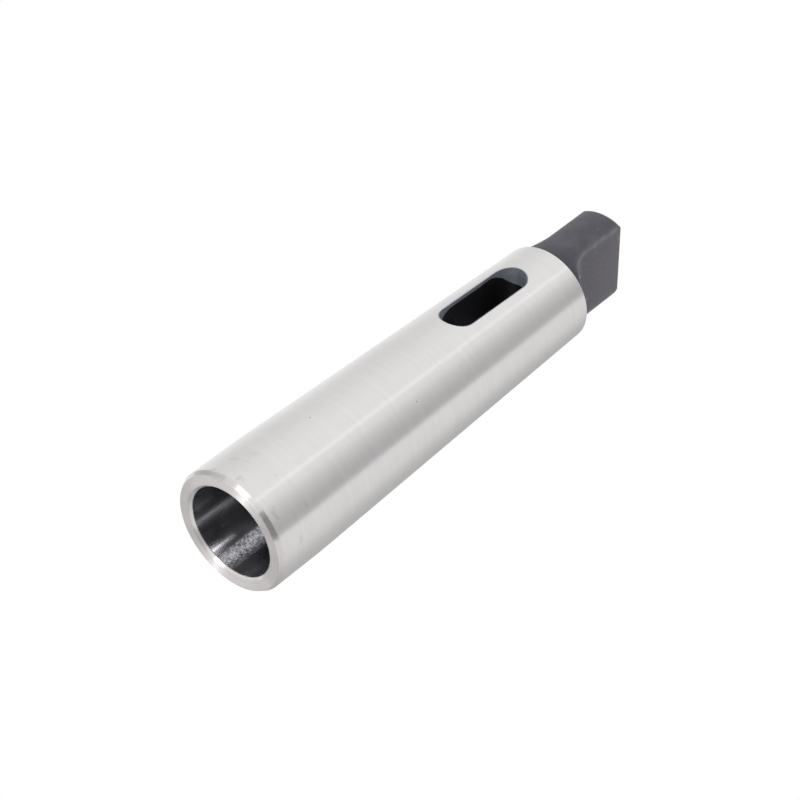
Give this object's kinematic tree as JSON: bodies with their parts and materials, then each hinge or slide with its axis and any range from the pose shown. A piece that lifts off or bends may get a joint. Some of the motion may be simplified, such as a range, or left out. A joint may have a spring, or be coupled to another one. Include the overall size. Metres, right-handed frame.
{
  "type": "morse taper sleeve",
  "caption": "Long tapered steel reducing sleeve with a tapered socket in its wide end, a cross slot for driving the tool out, and a flat-sided driving tang at its narrow end.",
  "frame": {"origin": "centre of the flat ring around the mouth of the socket", "axes": "+Z along the axis from the mouth to the tang, X through the drift slot, Y square to the flats of the tang"},
  "size_m": [0.0316, 0.0316, 0.14],
  "materials": {
    "steel": "ground taper and turned mouth, left bare; blackened tang, slot and socket in the real object"
  },
  "bodies": {
    "root": {"sleeve": "steel"}
  },
  "joints": []
}
